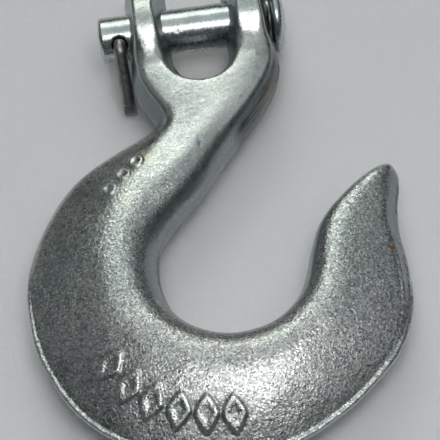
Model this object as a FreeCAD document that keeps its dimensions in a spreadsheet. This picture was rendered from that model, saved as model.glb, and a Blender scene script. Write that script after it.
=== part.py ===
"""Safety chain hook: a drop-forged clevis slip hook with a headed, cross-drilled clevis pin and a split pin.

Millimetres. The origin is the centre of the clevis pin's axis, on the forging's parting plane.
+X runs along the pin towards its head, +Y out of the clevis mouth, +Z up, square to the flat of the hook.
The bowl hangs at -Y.
"""
import FreeCAD, Part
import math
import os

import Sketcher

V = FreeCAD.Vector
doc = FreeCAD.newDocument("safety_chain_hook")

# ---------------------------------------------------------------- driving dimensions
sheet = doc.addObject("Spreadsheet::Sheet", "dims")
CELLS = [
    ("boss_radius", 11.7),        # rounded clevis ears
    ("boss_drop", 0.7),           # how far their centre lies below the pin axis, towards the bowl
    ("ear_left", 16.2),           # outer face of the left ear at the parting plane, from the origin
    ("ear_right", 17.0),          # outer face of the right ear
    ("ear_corner", 2.6),          # round on the ears' outer corners
    ("ear_draft", 10.0),          # degrees, outer flank of each ear
    ("slot_half", 6.4),           # clevis slot at the parting plane
    ("slot_bottom", 15.4),        # floor of the slot below the pin axis, at the parting plane
    ("slot_flare", 3.25),         # how much wider each side of the slot is at the flare height
    ("slot_drop", 3.9),           # how much lower the centre of the slot's round end is at the flare height
    ("flare_height", 12.6),       # height over the parting plane at which the flare is measured
    ("pin_radius", 5.3),
    ("bore_radius", 5.38),        # drilled through both ears
    ("pin_tail", 22.7),           # from the origin to the pin's plain end
    ("pin_chamfer", 0.6),
    ("head_radius", 8.2),
    ("head_gap", 0.5),           # between the right ear and the head
    ("head_thick", 2.6),
    ("head_dome", 0.7),           # rise of the head's crowned face
    ("cross_radius", 1.75),       # hole for the split pin
    ("cross_x", 18.15),            # its distance from the origin
    ("cross_tilt", 51.0),         # degrees from +Z towards -Y
    ("leg_radius", 1.4),          # half-round wire of the split pin
    ("leg_gap", 0.12),            # between the two flats
    ("leg_long", 14.6),
    ("leg_short", 12.2),
    ("bend_radius", 2.0),
    ("eye_radius", 1.75),          # centre line of the split pin's eye
]
for row, (name, value) in enumerate(CELLS, 1):
    sheet.set(f"A{row}", name)
    sheet.set(f"B{row}", f"{value:g}")
    sheet.setAlias(f"B{row}", name)
doc.recompute()


def dim(name):
    return float(getattr(sheet, name))


def plane(body, role):
    """One of a body's own origin planes."""
    return [f for f in body.Origin.OriginFeatures if f.Role == role][0]


def sketch_on(body, role, name, offset=None):
    sk = body.newObject("Sketcher::SketchObject", name)
    sk.AttachmentSupport = [(plane(body, role), "")]
    sk.MapMode = "FlatFace"
    if offset is not None:
        sk.AttachmentOffset = offset
    return sk


def polyline(sk, pts, closed=True):
    """Straight edges joined end to end; returns their indices."""
    ids = []
    n = len(pts)
    for i in range(n if closed else n - 1):
        a, b = pts[i], pts[(i + 1) % n]
        ids.append(sk.addGeometry(Part.LineSegment(V(a[0], a[1], 0), V(b[0], b[1], 0)), False))
    for i in range(len(ids) - 1):
        sk.addConstraint(Sketcher.Constraint("Coincident", ids[i], 2, ids[i + 1], 1))
    if closed:
        sk.addConstraint(Sketcher.Constraint("Coincident", ids[-1], 2, ids[0], 1))
    return ids


# ---------------------------------------------------------------- hook body
# One forging: a clevis fork, a short shank and a slip-hook bowl. The blank is lofted through
# sections that stand square to the parting plane. Each section is given by its inner edge (the
# side that faces the bowl), its outer edge, and its profile:
#   crest  height of the crown over the parting plane
#   inner  width of the round that climbs from the inner edge to the crown
#   flat   where the crown ends and the outer slope starts, measured from the inner edge
#   inset, shoulder  the outer flank: how far in and how high its upper edge is
#   power  how full the outer slope is
SECTIONS = [
    # xi,    yi,    xo,     yo,    crest, inner, flat, inset, shoulder, power
    (16.0, 3.0, -15.3, 3.0, 7.0, 2.2, 28.6, 1.7, 5.8, 2.0),
    (16.8, -6.0, -15.7, -6.0, 7.0, 2.2, 29.8, 1.7, 5.8, 2.0),
    (17.45, -12.2, -16.2, -12.8, 7.0, 2.4, 31.0, 1.5, 6.0, 2.0),
    (16.4, -18.0, -15.2, -18.6, 7.0, 2.8, 28.8, 1.6, 6.0, 2.0),
    (13.4, -23.4, -13.4, -22.8, 7.0, 3.6, 23.8, 1.7, 5.9, 2.0),
    (9.0, -29.4, -12.1, -25.7, 7.0, 4.6, 17.6, 2.0, 5.7, 2.0),
    (4.5, -34.7, -12.4, -27.6, 7.1, 5.6, 13.2, 2.4, 5.2, 1.9),
    (0.2, -40.5, -16.9, -30.4, 7.35, 6.8, 11.0, 2.4, 4.6, 1.8),
    (-4.0, -46.0, -23.6, -33.8, 7.75, 7.4, 10.4, 2.1, 4.1, 1.7),
    (-8.6, -50.8, -31.0, -38.9, 8.25, 7.8, 9.8, 1.6, 3.3, 1.6),
    (-12.3, -55.2, -36.9, -46.4, 8.65, 8.1, 9.4, 1.1, 2.5, 1.55),
    (-14.7, -60.0, -41.2, -55.3, 8.9, 8.2, 9.2, 0.8, 1.9, 1.5),
    (-15.5, -66.2, -43.7, -66.0, 9.0, 8.2, 9.1, 0.6, 1.5, 1.5),
    (-14.0, -73.6, -41.6, -82.8, 9.0, 8.2, 9.1, 0.5, 1.3, 1.5),
    (-9.8, -79.1, -30.6, -100.6, 9.0, 8.2, 9.1, 0.5, 1.2, 1.5),
    (-3.6, -82.3, -12.2, -109.2, 9.0, 8.2, 9.1, 0.5, 1.2, 1.5),
    (3.3, -82.6, 7.6, -108.9, 9.0, 8.1, 9.0, 0.5, 1.2, 1.5),
    (9.7, -79.9, 24.8, -99.3, 8.7, 7.3, 8.2, 0.8, 1.6, 1.5),
    (14.4, -74.8, 35.3, -86.9, 8.1, 6.3, 7.2, 1.6, 2.7, 1.55),
    (16.6, -69.4, 38.1, -72.5, 7.5, 5.4, 6.4, 2.2, 3.8, 1.6),
    (18.2, -64.1, 37.6, -62.8, 7.0, 5.0, 6.0, 2.4, 4.0, 1.65),
    (20.9, -58.2, 37.75, -56.4, 6.5, 4.7, 5.6, 2.3, 3.9, 1.7),
    (26.1, -52.5, 38.8, -52.2, 5.8, 4.1, 5.0, 2.0, 3.6, 1.7),
    (31.1, -48.1, 39.4, -49.6, 5.0, 3.3, 4.1, 1.6, 3.1, 1.8),
    (34.7, -45.9, 39.7, -48.0, 4.1, 2.4, 3.0, 1.1, 2.6, 1.9),
    (37.0, -45.1, 39.2, -46.3, 2.9, 1.2, 1.4, 0.5, 1.8, 2.0),
]
FLASH = 0.9  # half the height of the trimmed flash line round the parting plane


def crown(sec):
    """Points of the upper half of a section, (distance from the inner edge, height)."""
    xi, yi, xo, yo, crest, inner, flat, inset, shoulder, power = sec
    width = math.hypot(xo - xi, yo - yi)
    pts = []
    for deg in (0, 22, 44, 66, 90):
        a = math.radians(deg)
        pts.append((inner * (1 - math.cos(a)), FLASH + (crest - FLASH) * math.sin(a)))
    end = width - inset
    flat = min(max(flat, inner + 0.06 * width), end - 0.035 * width)
    pts.append((0.5 * (inner + flat), crest))
    for k in (0.0, 0.3, 0.55, 0.8, 1.0):
        s = flat + k * (end - flat)
        pts.append((s, crest - (crest - shoulder) * k ** power))
    return width, pts



def pin_vertices(sk, ids, exprs):
    """Tie the start point of each edge to the sheet: exprs holds (x expression, y expression)."""
    for n, (gid, (ex, ey)) in enumerate(zip(ids, exprs)):
        for axis, expr in (("X", ex), ("Y", ey)):
            if expr == "0":
                sk.addConstraint(Sketcher.Constraint("PointOnObject", gid, 1, -2 if axis == "X" else -1))
                continue
            pt = sk.Geometry[gid].StartPoint
            value = pt.x if axis == "X" else pt.y
            c = sk.addConstraint(Sketcher.Constraint(f"Distance{axis}", -1, 1, gid, 1, value))
            sk.renameConstraint(c, f"p{n}{axis}")
            sk.setExpression(f"Constraints.p{n}{axis}", expr)


def circle_on(sk, cx, cy, r, expr):
    gid = sk.addGeometry(Part.Circle(V(cx, cy, 0), V(0, 0, 1), r), False)
    if abs(cx) < 1e-9 and abs(cy) < 1e-9:
        sk.addConstraint(Sketcher.Constraint("Coincident", gid, 3, -1, 1))
    c = sk.addConstraint(Sketcher.Constraint("Radius", gid, r))
    sk.renameConstraint(c, "circle_radius")
    sk.setExpression("Constraints.circle_radius", expr)
    return gid


hook = doc.addObject("PartDesign::Body", "hook_body")
hook.Label = "hook_body"

# the two round ears, as one boss turned about an axis just below the pin, with its outer corners rounded
left, right, r_boss, r_corner = dim("ear_left"), dim("ear_right"), dim("boss_radius"), dim("ear_corner")
sk = sketch_on(hook, "XY_Plane", "boss_outline", FreeCAD.Placement(V(0, -dim("boss_drop"), 0), FreeCAD.Rotation()))
sk.setExpression("AttachmentOffset.Base.y", "-dims.boss_drop")
verts = [(-left, 0.0), (-left, r_boss - r_corner), (-left + r_corner, r_boss), (right - r_corner, r_boss),
         (right, r_boss - r_corner), (right, 0.0)]
exprs = [
    ("-dims.ear_left", "0"), ("-dims.ear_left", "dims.boss_radius - dims.ear_corner"),
    ("-dims.ear_left + dims.ear_corner", "dims.boss_radius"),
    ("dims.ear_right - dims.ear_corner", "dims.boss_radius"),
    ("dims.ear_right", "dims.boss_radius - dims.ear_corner"), ("dims.ear_right", "0"),
]
ids = []
q = r_corner * (1 - math.sqrt(0.5))
for n in range(6):
    (x1, y1), (x2, y2) = verts[n], verts[(n + 1) % 6]
    if n == 1:
        ids.append(sk.addGeometry(Part.Arc(V(x1, y1, 0), V(-left + q, r_boss - q, 0), V(x2, y2, 0)), False))
    elif n == 3:
        ids.append(sk.addGeometry(Part.Arc(V(x1, y1, 0), V(right - q, r_boss - q, 0), V(x2, y2, 0)), False))
    else:
        ids.append(sk.addGeometry(Part.LineSegment(V(x1, y1, 0), V(x2, y2, 0)), False))
for gid, radius_name in ((ids[1], "left_corner"), (ids[3], "right_corner")):
    c = sk.addConstraint(Sketcher.Constraint("Radius", gid, r_corner))
    sk.renameConstraint(c, radius_name)
    sk.setExpression(f"Constraints.{radius_name}", "dims.ear_corner")
# a right-hand arc keeps its own order of ends, so its two neighbours are tied by position
for gid, (ex, ey) in zip((ids[0], ids[2], ids[4], ids[5]), (exprs[0], exprs[2], exprs[4], exprs[5])):
    for axis, expr in (("X", ex), ("Y", ey)):
        if expr == "0":
            sk.addConstraint(Sketcher.Constraint("PointOnObject", gid, 1, -1))
            continue
        pt = sk.Geometry[gid].StartPoint
        c = sk.addConstraint(Sketcher.Constraint(f"Distance{axis}", -1, 1, gid, 1, pt.x if axis == "X" else pt.y))
        sk.renameConstraint(c, f"b{gid}{axis}")
        sk.setExpression(f"Constraints.b{gid}{axis}", expr)
doc.recompute()
boss = hook.newObject("PartDesign::Revolution", "boss")
boss.Profile = sk
boss.ReferenceAxis = (sk, ["H_Axis"])
boss.Angle = 360
doc.recompute()
print("boss", boss.State, boss.Shape.isValid(), round(boss.Shape.Volume, 1))

# drafted outer flanks: a wedge off each corner, above and below the parting plane
top = dim("boss_radius") + 0.8
lean = top * math.tan(math.radians(dim("ear_draft")))
sk = sketch_on(hook, "XZ_Plane", "flank_wedges")
for sx, half, ear in ((1, right, "dims.ear_right"), (-1, left, "dims.ear_left")):
    for sz in (1, -1):
        pts = [(sx * half, 0.0), (sx * (half + 2.5), 0.0), (sx * (half + 2.5), sz * top), (sx * (half - lean), sz * top)]
        ids = polyline(sk, pts)
        names = [
            (f"{sx} * {ear}", "0"),
            (f"{sx} * ({ear} + 2.5)", "0"),
            (f"{sx} * ({ear} + 2.5)", f"{sz} * (dims.boss_radius + 0.8)"),
            (f"{sx} * ({ear} - (dims.boss_radius + 0.8) * tan(dims.ear_draft * 1 deg))",
             f"{sz} * (dims.boss_radius + 0.8)"),
        ]
        base = len(sk.Constraints)
        for n, (gid, (ex, ey)) in enumerate(zip(ids, names)):
            for axis, expr in (("X", ex), ("Y", ey)):
                if expr == "0":
                    sk.addConstraint(Sketcher.Constraint("PointOnObject", gid, 1, -1))
                    continue
                pt = sk.Geometry[gid].StartPoint
                value = pt.x if axis == "X" else pt.y
                c = sk.addConstraint(Sketcher.Constraint(f"Distance{axis}", -1, 1, gid, 1, value))
                tag = f"w{'p' if sx > 0 else 'm'}{'p' if sz > 0 else 'm'}{n}{axis}"
                sk.renameConstraint(c, tag)
                sk.setExpression(f"Constraints.{tag}", expr)
doc.recompute()
before = boss.Shape.Volume
wedges = hook.newObject("PartDesign::Pocket", "flank_draft")
wedges.Profile = sk
wedges.Midplane = True
wedges.Type = 0
wedges.setExpression("Length", "2 * dims.boss_radius + 4")
doc.recompute()
print("draft removed", round(before - wedges.Shape.Volume, 1))

# neck, shank and bowl
loops = []
for i, sec in enumerate(SECTIONS):
    xi, yi, xo, yo = sec[:4]
    width, pts = crown(sec)
    ux, uy = (xo - xi) / width, (yo - yi) / width
    # sketch x runs from the inner to the outer edge, sketch y is +Z
    rot = FreeCAD.Rotation(V(ux, uy, 0), V(0, 0, 1), V(uy, -ux, 0), "ZXY")
    sk = sketch_on(hook, "XY_Plane", f"section_{i:02d}", FreeCAD.Placement(V(xi, yi, 0), rot))
    up = Part.BSplineCurve()
    up.interpolate([V(s, z, 0) for s, z in pts])
    down = Part.BSplineCurve()
    down.interpolate([V(s, -z, 0) for s, z in reversed(pts)])
    sk.addGeometry(up, False)
    edge = [pts[-1], (width, FLASH), (width, -FLASH), (pts[-1][0], -pts[-1][1])]
    for a, b in zip(edge, edge[1:]):
        sk.addGeometry(Part.LineSegment(V(a[0], a[1], 0), V(b[0], b[1], 0)), False)
    sk.addGeometry(down, False)
    sk.addGeometry(Part.LineSegment(V(0, -FLASH, 0), V(0, FLASH, 0)), False)
    loops.append(sk)
doc.recompute()
blank = hook.newObject("PartDesign::AdditiveLoft", "blank")
blank.Profile = loops[0]
blank.Sections = loops[1:]
blank.Ruled = False
doc.recompute()
print("blank", blank.State, blank.Shape.isValid(), round(blank.Shape.Volume, 1), len(blank.Shape.Solids))


# the clevis slot: a round-ended channel that widens from the parting plane to each face
def slot_profile(name, height, half_w, centre_y, exprs):
    sk = sketch_on(hook, "XY_Plane", name, FreeCAD.Placement(V(0, 0, height), FreeCAD.Rotation()))
    mouth = dim("boss_radius") + 6
    a = sk.addGeometry(Part.LineSegment(V(half_w, mouth, 0), V(-half_w, mouth, 0)), False)
    b = sk.addGeometry(Part.LineSegment(V(-half_w, mouth, 0), V(-half_w, centre_y, 0)), False)
    c = sk.addGeometry(Part.ArcOfCircle(Part.Circle(V(0, centre_y, 0), V(0, 0, 1), half_w), math.pi, 2 * math.pi), False)
    d = sk.addGeometry(Part.LineSegment(V(half_w, centre_y, 0), V(half_w, mouth, 0)), False)
    sk.addConstraint(Sketcher.Constraint("Coincident", a, 2, b, 1))
    sk.addConstraint(Sketcher.Constraint("Tangent", b, 2, c, 1))
    sk.addConstraint(Sketcher.Constraint("Tangent", c, 2, d, 1))
    sk.addConstraint(Sketcher.Constraint("Coincident", d, 2, a, 1))
    sk.addConstraint(Sketcher.Constraint("Horizontal", a))
    sk.addConstraint(Sketcher.Constraint("Vertical", b))
    sk.addConstraint(Sketcher.Constraint("PointOnObject", c, 3, -2))
    n = sk.addConstraint(Sketcher.Constraint("Radius", c, half_w))
    sk.renameConstraint(n, "half_width")
    sk.setExpression("Constraints.half_width", exprs[0])
    n = sk.addConstraint(Sketcher.Constraint("DistanceY", c, 3, -1, 1, -centre_y))
    sk.renameConstraint(n, "below_pin")
    sk.setExpression("Constraints.below_pin", exprs[1])
    n = sk.addConstraint(Sketcher.Constraint("DistanceY", -1, 1, a, 1, mouth))
    sk.renameConstraint(n, "mouth")
    sk.setExpression("Constraints.mouth", "dims.boss_radius + 6")
    return sk


for side, sz in (("upper", 1), ("lower", -1)):
    w0, w1 = dim("slot_half"), dim("slot_half") + dim("slot_flare")
    c0 = -(dim("slot_bottom") - dim("slot_half"))
    narrow = slot_profile(f"slot_{side}_narrow", 0.0, w0, c0, ("dims.slot_half", "dims.slot_bottom - dims.slot_half"))
    wide = slot_profile(f"slot_{side}_wide", sz * dim("flare_height"), w1, c0 - dim("slot_drop"),
                        ("dims.slot_half + dims.slot_flare", "dims.slot_bottom - dims.slot_half + dims.slot_drop"))
    wide.setExpression("AttachmentOffset.Base.z", f"{sz} * dims.flare_height")
    doc.recompute()
    before = hook.Tip.Shape.Volume
    cut = hook.newObject("PartDesign::SubtractiveLoft", f"slot_{side}")
    cut.Profile = narrow
    cut.Sections = [wide]
    cut.Ruled = True
    doc.recompute()
    print(side, "slot removed", round(before - cut.Shape.Volume, 1), cut.State)

sk = sketch_on(hook, "YZ_Plane", "bore_outline")
circle_on(sk, 0, 0, dim("bore_radius"), "dims.bore_radius")
doc.recompute()
before = hook.Tip.Shape.Volume
bore = hook.newObject("PartDesign::Pocket", "pin_bore")
bore.Profile = sk
bore.Midplane = True
bore.setExpression("Length", "2 * dims.ear_right + 6")
doc.recompute()
print("bore removed", round(before - bore.Shape.Volume, 1), bore.State, len(bore.Shape.Solids), bore.Shape.isValid())



def edges_where(shape, test):
    return [f"Edge{i + 1}" for i, e in enumerate(shape.Edges) if test(e, e.CenterOfMass)]


# ---------------------------------------------------------------- clevis pin
# Turned from one bar: a plain shank with a low crowned head, drilled across near its tail.
pin = doc.addObject("PartDesign::Body", "clevis_pin")
pin.Label = "clevis_pin"
tail, rad, cham = dim("pin_tail"), dim("pin_radius"), dim("pin_chamfer")
x_head = dim("ear_right") + dim("head_gap")
x_face = x_head + dim("head_thick")
r_head, dome = dim("head_radius"), dim("head_dome")
head_x, face_x = "dims.ear_right + dims.head_gap", "dims.ear_right + dims.head_gap + dims.head_thick"
sk = sketch_on(pin, "XY_Plane", "pin_profile")
verts = [
    (-tail, 0.0), (-tail, rad - cham), (-tail + cham, rad), (x_head, rad), (x_head, r_head - 0.5),
    (x_head + 0.5, r_head), (x_face - 0.9, r_head), (x_face - 0.15, r_head - 0.8), (x_face, r_head - 1.9),
    (x_face + dome, 0.0),
]
exprs = [
    ("-dims.pin_tail", "0"), ("-dims.pin_tail", "dims.pin_radius - dims.pin_chamfer"),
    ("-dims.pin_tail + dims.pin_chamfer", "dims.pin_radius"), (head_x, "dims.pin_radius"),
    (head_x, "dims.head_radius - 0.5"), (f"{head_x} + 0.5", "dims.head_radius"),
    (f"{face_x} - 0.9", "dims.head_radius"), (f"{face_x} - 0.15", "dims.head_radius - 0.8"),
    (face_x, "dims.head_radius - 1.9"),
]
ids = []
for n in range(len(verts)):
    a, b = verts[n], verts[(n + 1) % len(verts)]
    if n == 8:
        # the crowned face: an arc that meets the axis squarely
        x1, y1 = a
        x2 = b[0]
        r_dome = ((x2 - x1) ** 2 + y1 ** 2) / (2 * (x2 - x1))
        arc = Part.Arc(V(x1, y1, 0), V(x2 - r_dome + r_dome * math.cos(0.5 * math.asin(y1 / r_dome)),
                                       r_dome * math.sin(0.5 * math.asin(y1 / r_dome)), 0), V(x2, 0, 0))
        ids.append(sk.addGeometry(arc, False))
    else:
        ids.append(sk.addGeometry(Part.LineSegment(V(a[0], a[1], 0), V(b[0], b[1], 0)), False))
for n in range(7):
    sk.addConstraint(Sketcher.Constraint("Coincident", ids[n], 2, ids[n + 1], 1))
pin_vertices(sk, ids[:8], exprs[:8])
doc.recompute()
turned = pin.newObject("PartDesign::Revolution", "turned")
turned.Profile = sk
turned.ReferenceAxis = (sk, ["H_Axis"])
turned.Angle = 360
doc.recompute()
print("pin", turned.State, round(turned.Shape.Volume, 1))
tilt = math.radians(dim("cross_tilt"))
AWAY = V(0, -math.sin(tilt), math.cos(tilt))     # along the cross hole, out of the legs' side
ALONG = V(0, -math.cos(tilt), -math.sin(tilt))   # along the bent legs
hole_frame = FreeCAD.Placement(
    V(-dim("cross_x"), 0, 0), FreeCAD.Rotation(V(1, 0, 0), V(0, 0, 0), AWAY, "ZXY")
)
sk = sketch_on(pin, "XY_Plane", "cross_hole_outline", hole_frame)
circle_on(sk, 0, 0, dim("cross_radius"), "dims.cross_radius")
sk.setExpression("AttachmentOffset.Base.x", "-dims.cross_x")
doc.recompute()
before = turned.Shape.Volume
cross = pin.newObject("PartDesign::Pocket", "cross_hole")
cross.Profile = sk
cross.Midplane = True
cross.setExpression("Length", "4 * dims.pin_radius")
doc.recompute()
print("cross hole removed", round(before - cross.Shape.Volume, 1), cross.State)
rim = pin.newObject("PartDesign::Fillet", "cross_hole_rim")
rim.Base = (cross, edges_where(
    cross.Shape, lambda e, c: abs(c.x + dim("cross_x")) < 0.3 and abs(abs(c.dot(AWAY)) - dim("pin_radius")) < 0.6
))
rim.Radius = 0.3
doc.recompute()
print("rim", rim.Base[1], rim.State)

# ---------------------------------------------------------------- split pin
# Half-round wire folded flat side in: two legs side by side through the cross hole, an eye at one
# end, and the legs bent over together so that they lie along the clevis pin's flank.
cotter = doc.addObject("PartDesign::Body", "split_pin")
cotter.Label = "split_pin"
gap, wire = dim("leg_gap") / 2, dim("leg_radius")
bend, eye = dim("bend_radius"), dim("eye_radius")
q_bend = dim("pin_radius") - 0.45                # where the legs start to bend, along AWAY
q_eye = dim("pin_radius") + 0.1                  # where they spread into the eye, on the far side
flare = 1.75
q_centre = q_eye + math.sqrt((flare + eye) ** 2 - (gap + flare) ** 2)
# sketch x is ALONG, sketch y is AWAY
path_frame = FreeCAD.Placement(V(-dim("cross_x"), 0, 0), FreeCAD.Rotation(ALONG, AWAY, V(-1, 0, 0), "ZXY"))
path = sketch_on(cotter, "XY_Plane", "wire_path", path_frame)


def arc_through(cx, cy, r, a0, a1):
    am = 0.5 * (a0 + a1)
    p = [V(cx + r * math.cos(a), cy + r * math.sin(a), 0) for a in (a0, am, a1)]
    return Part.Arc(*p)


long_leg, short_leg = dim("leg_long"), dim("leg_short")
path.addGeometry(Part.LineSegment(V(bend - gap + short_leg, q_bend + bend, 0), V(bend - gap, q_bend + bend, 0)), False)
path.addGeometry(arc_through(bend - gap, q_bend, bend, math.pi / 2, math.pi), False)
path.addGeometry(Part.LineSegment(V(-gap, q_bend, 0), V(-gap, -q_eye, 0)), False)
lean_angle = math.atan2(q_centre - q_eye, gap + flare)  # from the flare's centre to the eye's, below the -x direction
path.addGeometry(arc_through(-gap - flare, -q_eye, flare, 0.0, -lean_angle), False)
path.addGeometry(arc_through(0, -q_centre, eye, math.pi - lean_angle, 2 * math.pi + lean_angle), False)
path.addGeometry(arc_through(gap + flare, -q_eye, flare, math.pi + lean_angle, math.pi), False)
path.addGeometry(Part.LineSegment(V(gap, -q_eye, 0), V(gap, q_bend, 0)), False)
inner_bend = bend - 2 * gap
path.addGeometry(arc_through(gap + inner_bend, q_bend, inner_bend, math.pi, math.pi / 2), False)
path.addGeometry(Part.LineSegment(V(gap + inner_bend, q_bend + inner_bend, 0),
                                  V(gap + inner_bend + long_leg, q_bend + inner_bend, 0)), False)
doc.recompute()
print("wire path", len(path.Shape.Edges), len(path.Shape.Wires), round(path.Shape.Length, 2))
start = V(-dim("cross_x"), 0, 0) + ALONG * (bend - gap + short_leg) + AWAY * (q_bend + bend)
section = sketch_on(cotter, "XY_Plane", "wire_section",
                    FreeCAD.Placement(start, FreeCAD.Rotation(V(1, 0, 0), AWAY, ALONG, "ZXY")))
n = section.addGeometry(Part.ArcOfCircle(Part.Circle(V(0, 0, 0), V(0, 0, 1), wire), 0, math.pi), False)
m = section.addGeometry(Part.LineSegment(V(-wire, 0, 0), V(wire, 0, 0)), False)
section.addConstraint(Sketcher.Constraint("Coincident", n, 2, m, 1))
section.addConstraint(Sketcher.Constraint("Coincident", n, 1, m, 2))
section.addConstraint(Sketcher.Constraint("Coincident", n, 3, -1, 1))
section.addConstraint(Sketcher.Constraint("PointOnObject", n, 1, -1))
c = section.addConstraint(Sketcher.Constraint("Radius", n, wire))
section.renameConstraint(c, "wire_radius")
section.setExpression("Constraints.wire_radius", "dims.leg_radius")
doc.recompute()
folded = cotter.newObject("PartDesign::AdditivePipe", "folded_wire")
folded.Profile = section
folded.Spine = (path, [f"Edge{k + 1}" for k in range(len(path.Shape.Edges))])
folded.Mode = "Frenet" if False else "Standard"
doc.recompute()
area = math.pi * wire ** 2 / 2
print("split pin", folded.State, folded.Shape.isValid(), round(folded.Shape.Volume, 2), "section x length", round(area * path.Shape.Length, 2))

# ---------------------------------------------------------------- check and write
doc.recompute()
for obj in doc.Objects:
    if "Invalid" in obj.State or "Error" in obj.State:
        raise RuntimeError(f"{obj.Name} ({obj.Label}) did not rebuild: {obj.State}")
os.makedirs("parts", exist_ok=True)
PARTS = (hook, pin, cotter)
for body in PARTS:
    shape = body.Shape
    if shape.isNull() or not shape.isValid() or len(shape.Solids) != 1:
        raise RuntimeError(f"{body.Label}: not one valid solid")
for body in PARTS:
    body.Shape.exportStep(os.path.join("parts", body.Label + ".step"))
    bb = body.Shape.BoundBox
    print(body.Label, "volume", round(body.Shape.Volume, 1), "box",
          [round(q, 2) for q in (bb.XMin, bb.YMin, bb.ZMin, bb.XMax, bb.YMax, bb.ZMax)])
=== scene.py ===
import math

import bmesh
import bpy
import numpy as np
from mathutils import Matrix, Vector


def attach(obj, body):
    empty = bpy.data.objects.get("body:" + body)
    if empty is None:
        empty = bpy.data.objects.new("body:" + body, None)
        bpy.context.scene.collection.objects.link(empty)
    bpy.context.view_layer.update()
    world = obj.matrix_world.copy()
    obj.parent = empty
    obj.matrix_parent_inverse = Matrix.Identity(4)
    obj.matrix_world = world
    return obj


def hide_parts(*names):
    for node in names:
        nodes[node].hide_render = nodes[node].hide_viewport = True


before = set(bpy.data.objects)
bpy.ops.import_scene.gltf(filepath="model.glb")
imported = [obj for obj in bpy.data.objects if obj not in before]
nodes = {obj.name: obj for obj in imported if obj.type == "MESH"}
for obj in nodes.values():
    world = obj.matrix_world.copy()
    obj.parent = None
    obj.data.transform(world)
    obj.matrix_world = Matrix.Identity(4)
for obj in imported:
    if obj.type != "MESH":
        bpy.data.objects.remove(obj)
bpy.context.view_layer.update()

MM = 0.001
scene = bpy.context.scene


# ---------------------------------------------------------------- mesh tools

def fine_copy(name, node, voxel):
    """A dense, even copy of a CAD node's surface, as a new object."""
    me = nodes[node].data.copy()
    ob = bpy.data.objects.new(name, me)
    scene.collection.objects.link(ob)
    me.materials.clear()
    bm = bmesh.new()
    bm.from_mesh(me)
    bmesh.ops.remove_doubles(bm, verts=bm.verts, dist=2e-6)
    bm.to_mesh(me)
    bm.free()
    mod = ob.modifiers.new("remesh", "REMESH")
    mod.mode = "VOXEL"
    mod.voxel_size = voxel
    mod.adaptivity = 0.0
    graph = bpy.context.evaluated_depsgraph_get()
    new = bpy.data.meshes.new_from_object(ob.evaluated_get(graph))
    ob.modifiers.clear()
    ob.data = new
    new.name = name
    return ob


def points(ob):
    co = np.zeros(len(ob.data.vertices) * 3)
    ob.data.vertices.foreach_get("co", co)
    return co.reshape(-1, 3) * 1000.0


def put(ob, v):
    ob.data.vertices.foreach_set("co", (v * MM).astype(np.float32).ravel())
    ob.data.update()


def edges(ob):
    e = np.zeros(len(ob.data.edges) * 2, np.int64)
    ob.data.edges.foreach_get("vertices", e)
    return e.reshape(-1, 2)


def smooth(v, e, rounds, weight=1.0, lam=0.5):
    """Plain averaging over the mesh, weight 0 to 1 for each point."""
    n = len(v)
    degree = np.bincount(e.ravel(), minlength=n).astype(float)
    degree[degree == 0] = 1
    w = lam * np.asarray(weight) * np.ones(n)
    for _ in range(rounds):
        mean = np.empty_like(v)
        for k in range(3):
            mean[:, k] = np.bincount(e[:, 0], v[e[:, 1], k], n) + np.bincount(e[:, 1], v[e[:, 0], k], n)
        mean /= degree[:, None]
        v = v + (mean - v) * w[:, None]
    return v


def spread(values, e, rounds):
    """Averages one number per point over the mesh."""
    n = len(values)
    degree = np.bincount(e.ravel(), minlength=n).astype(float) + 1
    for _ in range(rounds):
        values = (values + np.bincount(e[:, 0], values[e[:, 1]], n) + np.bincount(e[:, 1], values[e[:, 0]], n)) / degree
    return values


def normals(ob):
    nn = np.zeros(len(ob.data.vertices) * 3, np.float32)
    ob.data.vertex_normals.foreach_get("vector", nn)
    return nn.reshape(-1, 3).astype(float)


def ramp(x, a, b):
    t = np.clip((x - a) / (b - a), 0.0, 1.0)
    return t * t * (3 - 2 * t)


def field(v, wavelength, seed, waves=28):
    """Smooth random field of about unit size, made of plane waves."""
    rng = np.random.default_rng(seed)
    d = rng.normal(size=(waves, 3))
    d /= np.linalg.norm(d, axis=1)[:, None]
    k = 2 * math.pi / (wavelength * rng.uniform(0.7, 1.5, waves))
    phase = rng.uniform(0, 2 * math.pi, waves)
    out = np.zeros(len(v))
    for i in range(waves):
        out += np.sin(v @ (d[i] * k[i]) + phase[i])
    return out / math.sqrt(waves / 2)


def attribute(ob, name, values):
    a = ob.data.attributes.new(name, "FLOAT", "POINT")
    a.data.foreach_set("value", np.asarray(values, np.float32))


def finish_mesh(ob):
    ob.data.polygons.foreach_set("use_smooth", np.ones(len(ob.data.polygons), bool))
    ob.data.update()


def blob(v, centre, size):
    d = (v - np.array(centre)) / np.array(size)
    return np.exp(-(d * d).sum(1))


# The two raised marks, as plain geometry: centre x, y, turn, half width, half height, relief, in millimetres.
LOZENGES = [
    (-27.4, -88.4, math.radians(-52), 2.7, 3.9, 0.42),
    (-24.0, -93.7, math.radians(-42), 2.7, 3.9, 0.42),
    (-19.6, -97.6, math.radians(-30), 2.7, 3.9, 0.42),
    (-14.2, -100.3, math.radians(-18), 2.7, 3.9, 0.42),
    (-8.6, -101.9, math.radians(-9), 2.7, 3.9, 0.42),
    (-2.9, -102.7, math.radians(-2), 2.7, 3.9, 0.42),
]
PIPS = [(-17.2, -39.4, 1.9, 0.42), (-20.3, -42.5, 1.9, 0.42), (-23.6, -45.9, 1.9, 0.42)]


# Round of the ears: radius and offset of its centre below the pin, height of the flat beside it, slope between.
EAR_R, EAR_Y, FLAT_Z, FALL = 11.7, 0.7, 7.0, math.radians(29)


# ---------------------------------------------------------------- the forging

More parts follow.
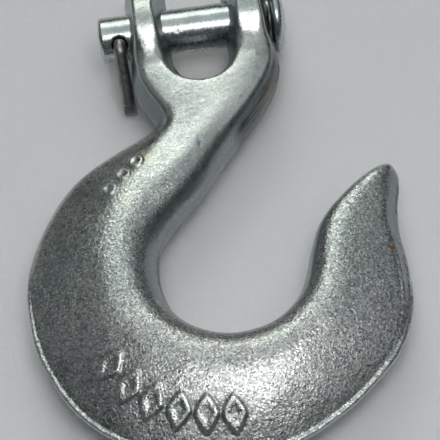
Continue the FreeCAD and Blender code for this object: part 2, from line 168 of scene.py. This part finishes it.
def build_forging():
    ob = fine_copy("forging", "hook_body", 0.28 * MM)
    v, e = points(ob), edges(ob)

    # Softened rims and creases: the die radii and the blasted, plated edges.
    x, y, z = v.T
    fork = ramp(y, -19.0, -14.0)
    axis_r = np.hypot(y, z)
    bore = 1 - ramp(axis_r, 6.3, 7.6)
    crease = np.exp(-((y + 10.6) / 3.0) ** 2) * (np.abs(z) > 3.5)
    notch = blob(v, (-12.4, -27.0, 0.0), (5.0, 5.0, 30.0))
    weight = np.clip(0.30 - 0.12 * fork + 0.7 * crease + 1.0 * notch, 0, 1) * (1 - 0.9 * bore)
    # The ears run down to the flat of the fork in a straight fall, not in a step.
    top_z = np.maximum(FLAT_Z, np.sqrt(np.clip(EAR_R ** 2 - (y + EAR_Y) ** 2, 0, None)))
    tangent_y = -EAR_Y - EAR_R * math.sin(FALL)
    line = EAR_R * math.cos(FALL) - math.tan(FALL) * (tangent_y - y)
    fill = np.clip(line - top_z, 0, None) * (y < tangent_y) * (np.abs(x) > 8.5)
    v[:, 2] += np.sign(z) * 0.9 * fill * ramp(np.abs(z), 3.0, 6.4)
    v = smooth(v, e, 10, 1 - 0.8 * bore)
    v = smooth(v, e, 46, weight)
    mid = 1 - ramp(np.abs(np.abs(x) - 11.8), 2.6, 4.2)
    v = smooth(v, e, 90, np.exp(-((y + 10.4) / 2.4) ** 2) * ramp(np.abs(z), 3.5, 5.5) * mid)
    put(ob, v)
    n = normals(ob)
    x, y, z = v.T

    # Low, uneven swell of a hand fed forging.
    quiet = 1 - ramp(axis_r, 0, 9.5) * 0 - bore
    swell = 0.040 * field(v, 13.0, 3) + 0.016 * field(v, 5.5, 4)
    top = ramp(np.abs(n[:, 2]), 0.45, 0.85)
    rough_skin = 0.0035 * field(v, 2.4, 5, 40) + 0.0050 * field(v, 1.15, 6, 60)
    move = (swell * 0.8 + rough_skin * (0.25 + 0.75 * top)) * np.clip(quiet, 0, 1)

    # Trimmed flash round the parting plane.
    side = ramp(1 - np.abs(n[:, 2]), 0.35, 0.8) * ramp(-y, 9.0, 13.0)
    along = 0.55 + 0.45 * field(v * np.array([1, 1, 0.0]), 16.0, 8)
    side = side * (1 - ramp(-x, 8.0, 11.0) * (1 - ramp(-y, 15.0, 19.0)))
    band = 1 - ramp(np.abs(z), 0.60, 0.95)
    move += 0.22 * side * band * np.clip(along, 0.25, 1.3)
    lip = np.exp(-((np.abs(z) - 0.72) / 0.20) ** 2)
    move += 0.12 * side * lip * np.clip(along, 0.2, 1.3)

    # A few blows and a nick.
    for centre, size, depth in (
        ((-2.7, -36.4, 6.4), (0.40, 1.2, 2.5), -0.24),
        ((-30.6, -52.0, 8.0), (1.3, 0.8, 2.0), -0.10),
        ((12.5, -88.0, 7.5), (0.9, 1.2, 2.0), -0.09),
        ((-22.0, -77.0, 8.0), (0.8, 1.1, 2.0), -0.08),
        ((30.5, -77.0, 6.0), (1.0, 0.7, 2.0), -0.09),
    ):
        move += depth * blob(v, centre, size)

    # Raised plain marks: a row of dished lozenges on the bowl, three dished pips on the shank.
    up = ramp(n[:, 2], 0.15, 0.45)
    raised = np.zeros(len(v))
    for cx, cy, turn, a, b, h in LOZENGES:
        c, s = math.cos(turn), math.sin(turn)
        p = (x - cx) * c + (y - cy) * s
        q = -(x - cx) * s + (y - cy) * c
        r = (np.abs(p / a) ** 1.25 + np.abs(q / b) ** 1.25) ** (1 / 1.25)
        wall = 1 - ramp(r, 0.80, 1.10)
        dish = 1 - ramp(r, 0.22, 0.62)
        f = wall - 0.50 * dish
        raised = np.maximum(raised, h * f)
    for cx, cy, r0, h in PIPS:
        r = np.hypot(x - cx, y - cy) / r0
        f = 1 - ramp(r, 0.74, 1.12) - 0.45 * (1 - ramp(r, 0.15, 0.60))
        raised = np.maximum(raised, h * f)
    move += raised * up

    # The crown falls away a little sooner than the drafted outer face behind it.
    arc = np.hypot(x - 1.0, y + 64.5) - 18.0
    move -= 0.60 * ramp(arc, 1.0, 14.0) * ramp(np.abs(n[:, 2]), 0.45, 0.80) * ramp(-y, 58.0, 72.0)

    v = v + n * move[:, None]
    put(ob, v)
    finish_mesh(ob)
    n = normals(ob)
    x, y, z = v.T

    # What the finish, the painted shade and the painted highlight tint depend on, one number per point.
    far = smooth(v, e, 30, 1.0)
    cavity = ((far - v) * n).sum(1)
    attribute(ob, "cavity", np.clip(spread(cavity, e, 2) / 0.12, -1, 1))
    # 1 on the blasted tops, 0 on the sides; the sides get painted shade in the plate colour.
    attribute(ob, "blasted_top_shaded_side", ramp(np.abs(n[:, 2]), 0.55, 0.86))
    attribute(ob, "coarse", np.clip(0.32 + 0.68 * ramp(-y, 24.0, 62.0) + 0.10 * field(v, 12.0, 25), 0, 1))
    # Painted shade on the walls inside the slot between the ears.
    inside = (1 - ramp(np.abs(x), 9.6, 10.4)) * ramp(y, -17.5, -15.5) * (1 - ramp(np.abs(n[:, 2]), 0.3, 0.6))
    attribute(ob, "slot_wall_shade", inside)
    warm = (
        0.8 * blob(v, (-14.6, -37.2, 6.0), (2.4, 4.0, 9.0))
        + 0.6 * blob(v, (-18.2, -43.0, 6.0), (3.6, 4.0, 9.0))
        + 0.4 * blob(v, (-20.5, -49.5, 7.0), (3.5, 4.0, 9.0))
        + 0.35 * blob(v, (-10.0, -8.0, 8.0), (3.0, 4.0, 9.0))
    )
    attribute(ob, "warm", np.clip(warm * (0.7 + 0.4 * field(v, 2.6, 21)), 0, 1))
    rust = (
        1.0 * blob(v, (34.9, -67.6, 4.0), (0.8, 0.9, 3.5))
    )
    brown = (
        0.8 * blob(v, (14.4, -21.5, 0.6), (2.6, 5.5, 1.3))
        + 0.5 * blob(v, (14.6, -19.0, 3.4), (2.4, 5.0, 1.8))
        + 0.3 * blob(v, (12.0, -27.0, 1.6), (3.0, 6.0, 1.6))
    )
    attribute(ob, "brown", np.clip(brown * (0.8 + 0.3 * field(v * np.array([1, 1, 4.0]), 4.0, 24)), 0, 1))
    # Painted shade on the sides of the fork and shank, darkest towards the top, for the dark floor and table they
    # reflect.
    wall = 1 - ramp(np.abs(n[:, 2]), 0.30, 0.70)
    right = ramp(x, 4.0, 7.5) * ramp(-y, 9.0, 15.0) * (1 - ramp(-y, 40.0, 52.0)) * (n[:, 0] > 0.2)
    left = ramp(-x, 5.0, 8.0) * ramp(-y, 9.0, 15.0) * (1 - ramp(-y, 26.0, 34.0)) * (n[:, 0] < -0.2)
    attribute(ob, "flank_shade", np.clip(wall * (right * (0.72 + 0.28 * ramp(z, 0.0, 3.0)) + 0.50 * left), 0, 1))
    attribute(ob, "rust", np.clip(rust * (0.75 + 0.5 * field(v, 1.4, 22)), 0, 1))
    # Painted highlight tint: the upper side of the bowl made pinkish, the colour of the highlight there.
    pink_highlight_tint = ramp(-y, 62.0, 88.0) * ramp(v[:, 0] * 0 + z, 0.0, 4.0)
    attribute(ob, "pink_highlight_tint", np.clip(pink_highlight_tint * (0.75 + 0.25 * field(v, 9.0, 23)), 0, 1))
    return ob


def build_pin():
    ob = fine_copy("turned_pin", "clevis_pin", 0.17 * MM)
    v, e = points(ob), edges(ob)
    v = smooth(v, e, 6, 1.0)
    v = smooth(v, e, 80, ramp(v[:, 0], 17.2, 17.6) * ramp(np.hypot(v[:, 1], v[:, 2]), 5.8, 6.6))
    put(ob, v)
    n = normals(ob)
    r = np.hypot(v[:, 1], v[:, 2])
    # Turning marks and a few handling dents.
    move = 0.010 * field(v * np.array([1.0, 0.15, 0.15]), 1.1, 31, 30) + 0.012 * field(v, 4.5, 32)
    for centre, size, depth in (
        ((-4.5, -3.1, 4.2), (0.8, 0.5, 0.8), -0.05),
        ((5.2, -4.2, 3.0), (0.35, 0.9, 0.9), -0.05),
        ((-21.0, -3.6, 3.6), (0.5, 0.6, 0.6), -0.06),
    ):
        move += depth * blob(v, centre, size)
    v = v + n * move[:, None]
    put(ob, v)
    finish_mesh(ob)
    n = normals(ob)
    far = smooth(v, e, 16, 1.0)
    cavity = ((far - v) * n).sum(1)
    attribute(ob, "cavity", np.clip(spread(cavity, e, 1) / 0.05, -1, 1))
    # Painted shade inside the cross hole and on the hidden faces near it.
    hidden = 1 - ramp(r, 1.0, 4.6) * (1 - (np.abs(n[:, 0]) > 0.8))
    attribute(ob, "painted_hole_shade", np.clip(hidden * ramp(-v[:, 0], 15.6, 16.2) * (v[:, 0] > -22.0), 0, 1))
    return ob


AWAY = np.array([0.0, -math.sin(math.radians(51)), math.cos(math.radians(51))])
ALONG = np.array([0.0, -math.cos(math.radians(51)), -math.sin(math.radians(51))])


def lean_legs(v):
    """The two bent legs lie a little askew, the inner one more."""
    out = v @ AWAY
    down = v @ ALONG
    outer = ramp(out, 6.55, 6.75)
    legs = (out > 4.0) & (down > 0.5)
    v[:, 0] += legs * outer * 0.018 * np.clip(down - 2.0, 0, None)
    v[:, 0] += legs * (1 - outer) * 0.042 * np.clip(down - 2.5, 0, None)


def build_split_pin():
    ob = fine_copy("split_pin_wire", "split_pin", 0.11 * MM)
    v, e = points(ob), edges(ob)
    v = smooth(v, e, 6, 1.0)
    put(ob, v)
    n = normals(ob)
    v = v + n * (0.012 * field(v, 1.6, 41, 30) + 0.020 * field(v, 5.0, 42))[:, None]
    lean_legs(v)
    put(ob, v)
    finish_mesh(ob)
    n = normals(ob)
    far = smooth(v, e, 16, 1.0)
    cavity = ((far - v) * n).sum(1)
    attribute(ob, "cavity", np.clip(spread(cavity, e, 1) / 0.04, -1, 1))
    return ob


# ---------------------------------------------------------------- materials

class Nodes:
    def __init__(self, name):
        self.mat = bpy.data.materials.new(name)
        self.mat.use_nodes = True
        self.tree = self.mat.node_tree
        self.tree.nodes.clear()
        self.out = self.tree.nodes.new("ShaderNodeOutputMaterial")
        self.bsdf = self.tree.nodes.new("ShaderNodeBsdfPrincipled")
        self.tree.links.new(self.bsdf.outputs[0], self.out.inputs[0])
        self.coord = self.tree.nodes.new("ShaderNodeTexCoord").outputs["Object"]

    def link(self, a, b):
        self.tree.links.new(a, b)

    def attr(self, name):
        n = self.tree.nodes.new("ShaderNodeAttribute")
        n.attribute_name = name
        return n.outputs["Fac"]

    def noise(self, scale, detail=2.0, rough=0.5, stretch=None, distortion=0.0):
        n = self.tree.nodes.new("ShaderNodeTexNoise")
        n.inputs["Scale"].default_value = scale
        n.inputs["Detail"].default_value = detail
        n.inputs["Roughness"].default_value = rough
        n.inputs["Distortion"].default_value = distortion
        if stretch:
            m = self.tree.nodes.new("ShaderNodeMapping")
            m.inputs["Scale"].default_value = stretch
            self.link(self.coord, m.inputs["Vector"])
            self.link(m.outputs[0], n.inputs["Vector"])
        else:
            self.link(self.coord, n.inputs["Vector"])
        return n.outputs["Fac"]

    def cells(self, scale, feature="SMOOTH_F1", out="Distance"):
        n = self.tree.nodes.new("ShaderNodeTexVoronoi")
        n.feature = feature
        n.inputs["Scale"].default_value = scale
        self.link(self.coord, n.inputs["Vector"])
        return n.outputs[out]

    def split(self, colour):
        n = self.tree.nodes.new("ShaderNodeSeparateColor")
        self.link(colour, n.inputs[0])
        return n.outputs[0]

    def range(self, value, a, b, lo, hi):
        n = self.tree.nodes.new("ShaderNodeMapRange")
        n.clamp = True
        n.interpolation_type = "SMOOTHSTEP"
        self.link(value, n.inputs["Value"])
        for key, val in (("From Min", a), ("From Max", b), ("To Min", lo), ("To Max", hi)):
            n.inputs[key].default_value = val
        return n.outputs["Result"]

    def math(self, op, a, b):
        n = self.tree.nodes.new("ShaderNodeMath")
        n.operation = op
        for i, v in enumerate((a, b)):
            if isinstance(v, (int, float)):
                n.inputs[i].default_value = v
            else:
                self.link(v, n.inputs[i])
        return n.outputs[0]

    def mix(self, fac, a, b):
        n = self.tree.nodes.new("ShaderNodeMix")
        n.data_type = "RGBA"
        self.link(fac, n.inputs["Factor"])
        for key, v in (("A", a), ("B", b)):
            sock = [s for s in n.inputs if s.name == key and s.type == "RGBA"][0]
            if isinstance(v, tuple):
                sock.default_value = v + (1.0,)
            else:
                self.link(v, sock)
        return [s for s in n.outputs if s.type == "RGBA"][0]

    def bump(self, height, strength, distance, normal=None):
        n = self.tree.nodes.new("ShaderNodeBump")
        n.inputs["Distance"].default_value = distance
        if isinstance(strength, (int, float)):
            n.inputs["Strength"].default_value = strength
        else:
            self.link(strength, n.inputs["Strength"])
        self.link(height, n.inputs["Height"])
        if normal is not None:
            self.link(normal, n.inputs["Normal"])
        return n.outputs[0]


def zinc_forging():
    m = Nodes("bright_zinc_on_forging")
    blasted_top_shaded_side = m.attr("blasted_top_shaded_side")
    cavity = m.attr("cavity")
    coarse = m.attr("coarse")
    grain = m.noise(2300.0, 3.0, 0.62)
    cell = m.cells(1500.0)
    patch = m.noise(110.0, 3.0, 0.55)
    blotch = m.noise(420.0, 3.0, 0.6)
    # colour of the plate, with painted shade on the sides, in the slot, on the flanks and in creases, and a painted
    # highlight tint on the bowl
    colour = m.mix(m.range(patch, 0.38, 0.64, 0.0, 1.0), (0.480, 0.520, 0.505), (0.575, 0.600, 0.575))
    colour = m.mix(m.range(blotch, 0.30, 0.46, 0.50, 0.0), colour, (0.380, 0.420, 0.415))
    # Sides darker than the tops: partly the smoother plate of the sides, partly painted shade for the shadowed floor
    # they reflect.
    colour = m.mix(m.range(blasted_top_shaded_side, 0.0, 1.0, 0.85, 0.0), colour, (0.270, 0.312, 0.322))
    # Painted highlight tint on the bowl's upper side.
    colour = m.mix(m.range(m.attr("pink_highlight_tint"), 0.0, 1.0, 0.0, 0.55), colour, (0.600, 0.560, 0.570))
    colour = m.mix(m.range(m.attr("warm"), 0.0, 1.0, 0.0, 0.55), colour, (0.600, 0.540, 0.400))
    # Darker in creases and hollows: painted shade, with some dirt. Lighter on convex rims and edges.
    colour = m.mix(m.range(cavity, 0.10, 0.85, 0.0, 0.75), colour, (0.140, 0.160, 0.160))
    colour = m.mix(m.range(cavity, -0.10, -0.9, 0.0, 0.35), colour, (0.760, 0.790, 0.780))
    chip = m.cells(3100.0, "F1", "Color")
    chip = m.split(chip)
    amount = m.math("MULTIPLY", m.range(blasted_top_shaded_side, 0.0, 1.0, 0.22, 1.0), coarse)
    # Painted shade: the slot walls between the ears darkened.
    colour = m.mix(m.range(m.attr("slot_wall_shade"), 0.1, 0.9, 0.0, 0.8), colour, (0.190, 0.260, 0.265))
    colour = m.mix(m.math("MULTIPLY", m.range(chip, 0.55, 0.0, 0.0, 0.85), amount), colour, (0.170, 0.190, 0.195))
    colour = m.mix(m.math("MULTIPLY", m.range(chip, 0.66, 1.0, 0.0, 0.95), amount), colour, (0.920, 0.940, 0.930))
    # Painted shade on the fork and shank sides, broken by streaks.
    streak = m.noise(1.0, 3.0, 0.6, (170.0, 170.0, 1300.0))
    side_shade_amount = m.math("MULTIPLY", m.attr("flank_shade"), m.range(streak, 0.34, 0.66, 1.0, 0.70))
    colour = m.mix(side_shade_amount, colour, (0.042, 0.052, 0.056))
    colour = m.mix(m.range(m.attr("brown"), 0.05, 0.9, 0.0, 0.65), colour, (0.300, 0.185, 0.115))
    rust = m.attr("rust")
    colour = m.mix(m.range(rust, 0.12, 0.60, 0.0, 0.9), colour, (0.170, 0.075, 0.035))
    m.link(colour, m.bsdf.inputs["Base Color"])
    m.link(m.range(rust, 0.15, 0.6, 1.0, 0.35), m.bsdf.inputs["Metallic"])
    rough = m.range(blotch, 0.30, 0.70, 0.25, 0.34)
    rough = m.math("ADD", rough, m.range(blasted_top_shaded_side, 0.0, 1.0, 0.02, 0.0))
    rough = m.math("ADD", rough, m.range(cavity, 0.1, 0.9, 0.0, 0.15))
    rough = m.math("ADD", rough, m.range(rust, 0.15, 0.6, 0.0, 0.35))
    m.link(rough, m.bsdf.inputs["Roughness"])
    strength = m.math("MULTIPLY", m.range(blasted_top_shaded_side, 0.0, 1.0, 0.30, 1.0), m.range(coarse, 0.3, 1.0, 0.38, 1.60))
    b = m.bump(cell, m.math("MULTIPLY", strength, 0.36), 0.00011)
    b = m.bump(grain, m.math("MULTIPLY", strength, 0.46), 0.00014, b)
    m.link(b, m.bsdf.inputs["Normal"])
    return m.mat


def zinc_turned():
    m = Nodes("bright_zinc_on_turned_steel")
    cavity = m.attr("cavity")
    patch = m.noise(240.0, 3.0, 0.55)
    fine = m.noise(1700.0, 3.0, 0.6)
    lathe = m.noise(900.0, 2.0, 0.6, stretch=(4.0, 0.25, 0.25))
    colour = m.mix(m.range(patch, 0.35, 0.65, 0.0, 1.0), (0.470, 0.525, 0.530), (0.590, 0.620, 0.605))
    # Darker in hollows: painted shade, with some dirt.
    colour = m.mix(m.range(cavity, 0.10, 0.9, 0.0, 0.8), colour, (0.100, 0.115, 0.115))
    # Painted shade: the inside of the cross hole darkened nearly to black.
    colour = m.mix(m.range(m.attr("painted_hole_shade"), 0.2, 0.9, 0.0, 0.85), colour, (0.050, 0.052, 0.050))
    m.link(colour, m.bsdf.inputs["Base Color"])
    m.bsdf.inputs["Metallic"].default_value = 1.0
    rough = m.range(fine, 0.30, 0.70, 0.20, 0.31)
    rough = m.math("ADD", rough, m.range(cavity, 0.1, 0.9, 0.0, 0.2))
    m.link(rough, m.bsdf.inputs["Roughness"])
    b = m.bump(lathe, 0.20, 0.00005)
    b = m.bump(fine, 0.25, 0.00005, b)
    m.link(b, m.bsdf.inputs["Normal"])
    return m.mat


def dull_wire():
    m = Nodes("dull_zinc_wire")
    cavity = m.attr("cavity")
    patch = m.noise(520.0, 3.0, 0.6)
    fine = m.noise(2600.0, 3.0, 0.65)
    colour = m.mix(m.range(patch, 0.35, 0.65, 0.0, 1.0), (0.200, 0.205, 0.200), (0.330, 0.330, 0.320))
    # Lighter on convex rims and edges; darker in hollows: painted shade, with some dirt.
    colour = m.mix(m.range(cavity, -0.10, -0.8, 0.0, 0.6), colour, (0.560, 0.570, 0.560))
    colour = m.mix(m.range(cavity, 0.10, 0.9, 0.0, 0.7), colour, (0.070, 0.070, 0.068))
    m.link(colour, m.bsdf.inputs["Base Color"])
    m.bsdf.inputs["Metallic"].default_value = 1.0
    m.link(m.range(fine, 0.30, 0.70, 0.34, 0.50), m.bsdf.inputs["Roughness"])
    b = m.bump(fine, 0.35, 0.00008)
    m.link(b, m.bsdf.inputs["Normal"])
    return m.mat


def cloth():
    m = Nodes("pale_cloth")
    weft = m.noise(900.0, 2.0, 0.5, stretch=(0.35, 3.2, 1.0))
    warp = m.noise(900.0, 2.0, 0.5, stretch=(3.2, 0.35, 1.0))
    weave = m.math("ADD", weft, warp)
    tone = m.noise(9.0, 2.0, 0.5)
    colour = m.mix(m.range(tone, 0.35, 0.65, 0.0, 1.0), (0.900, 0.895, 0.915), (0.925, 0.920, 0.935))
    colour = m.mix(m.range(weave, 0.80, 1.20, 0.18, 0.0), colour, (0.840, 0.835, 0.860))
    m.link(colour, m.bsdf.inputs["Base Color"])
    m.bsdf.inputs["Roughness"].default_value = 0.95
    m.bsdf.inputs["Specular IOR Level"].default_value = 0.15
    m.link(m.bump(weave, 0.35, 0.00025), m.bsdf.inputs["Normal"])
    return m.mat


# ---------------------------------------------------------------- put together

forging = build_forging()
forging.data.materials.append(zinc_forging())
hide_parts("hook_body")
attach(forging, "hook")

turned = build_pin()
turned.data.materials.append(zinc_turned())
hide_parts("clevis_pin")
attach(turned, "pin")

wire = build_split_pin()
wire.data.materials.append(dull_wire())
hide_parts("split_pin")
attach(wire, "pin")

# Floor under the two ears and the back of the bowl.
bm = bmesh.new()
half = 0.9
slope = 0.0300
for sx, sy in ((-1, -1), (1, -1), (1, 1), (-1, 1)):
    px, py = sx * half, sy * half - 0.05
    bm.verts.new((px, py, -0.01176 - slope * (py + 0.0007)))
bm.verts.ensure_lookup_table()
bm.faces.new(bm.verts)
bmesh.ops.subdivide_edges(bm, edges=bm.edges[:], cuts=15, use_grid_fill=True)
me = bpy.data.meshes.new("floor")
bm.to_mesh(me)
bm.free()
floor = bpy.data.objects.new("floor", me)
scene.collection.objects.link(floor)
me.materials.append(cloth())

# Light: a broad soft light above and behind the camera, a cream one beyond the object.
TARGET = Vector((0.0, -0.05, 0.0))


def softbox(name, north, east, distance, width, height, radiance, colour):
    a, b = math.radians(north), math.radians(east)
    d = Vector((math.sin(b), math.sin(a) * math.cos(b), math.cos(a) * math.cos(b)))
    light = bpy.data.lights.new(name, "AREA")
    light.shape = "RECTANGLE"
    light.size, light.size_y = width, height
    light.energy = radiance * math.pi * width * height
    light.color = colour
    ob = bpy.data.objects.new(name, light)
    ob.location = TARGET + d * distance
    ob.rotation_mode = "QUATERNION"
    zaxis = d
    xaxis = Vector((1, 0, 0)) - zaxis * zaxis.x
    xaxis.normalize()
    yaxis = zaxis.cross(xaxis)
    ob.rotation_quaternion = Matrix((xaxis, yaxis, zaxis)).transposed().to_quaternion()
    scene.collection.objects.link(ob)
    return ob


softbox("key", -17, 4, 0.54, 0.28, 0.20, 3.8, (1.0, 0.985, 0.985))
softbox("window", 52, 0, 1.2, 0.60, 0.60, 1.85, (0.96, 1.0, 0.92))
softbox("ceiling", 8, 0, 1.5, 1.10, 2.60, 0.56, (0.93, 1.0, 0.99))
softbox("east_wall", 5, 38, 1.5, 0.80, 1.80, 0.38, (0.93, 0.98, 1.0))
softbox("west_wall", 32, -46, 1.5, 0.90, 1.20, 0.14, (0.93, 0.98, 1.0))

world = bpy.data.worlds.new("studio")
scene.world = world
world.use_nodes = True
wt = world.node_tree
wt.nodes["Background"].inputs["Color"].default_value = (0.90, 0.96, 1.0, 1.0)
wt.nodes["Background"].inputs["Strength"].default_value = 0.07

# Camera.
cam = bpy.data.cameras.new("camera")
cam.lens = 163.636
cam.sensor_width = 36.0
cam.clip_start, cam.clip_end = 0.01, 10.0
cam_ob = bpy.data.objects.new("camera", cam)
right = Vector((0.99154414, -0.11410437, -0.06180945))
upv = Vector((0.12951504, 0.84030146, 0.52642123))
back = Vector((-0.00812839, -0.52997514, 0.84797422))
turn = Matrix((right, upv, back)).transposed().to_4x4()
cam_ob.matrix_world = Matrix.Translation(Vector((-4.122, -285.150, 371.638)) * MM) @ turn
scene.collection.objects.link(cam_ob)
scene.camera = cam_ob
scene.view_settings.view_transform = "Standard"
scene.view_settings.look = "None"

bpy.context.view_layer.update()
